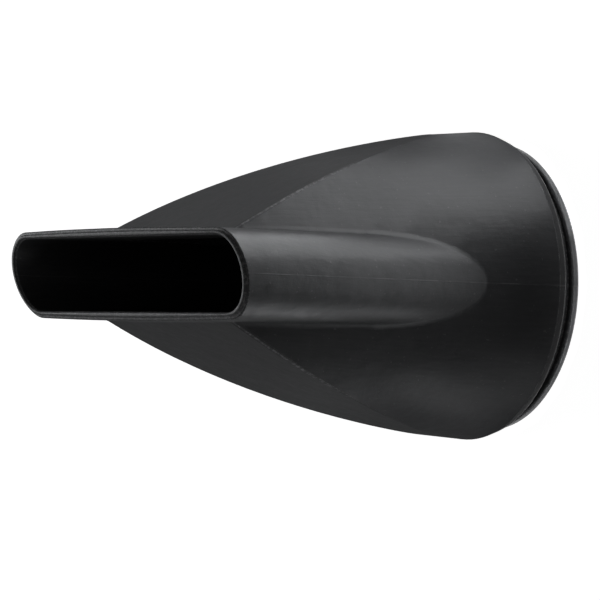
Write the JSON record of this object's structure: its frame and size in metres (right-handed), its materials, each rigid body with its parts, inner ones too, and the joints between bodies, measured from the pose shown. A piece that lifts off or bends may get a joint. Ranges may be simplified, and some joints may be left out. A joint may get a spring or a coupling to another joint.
{
  "type": "hair dryer concentrator nozzle",
  "caption": "Push-on hair dryer nozzle: round spigot and tapered skirt that turn into a flat, flared slot duct with a slanted, stepped mouth.",
  "frame": {"origin": "centre of the spigot's bottom face, on the axis of the round end", "axes": "+Z along the axis from the spigot to the mouth, X along the width of the slot, Y along its height; the slanted mouth is higher on the +Y side"},
  "size_m": [0.071, 0.05, 0.0717],
  "materials": {
    "black_plastic": "satin black moulded plastic with a fine mould grain"
  },
  "bodies": {
    "root": {"nozzle_body": "black_plastic"}
  },
  "joints": []
}
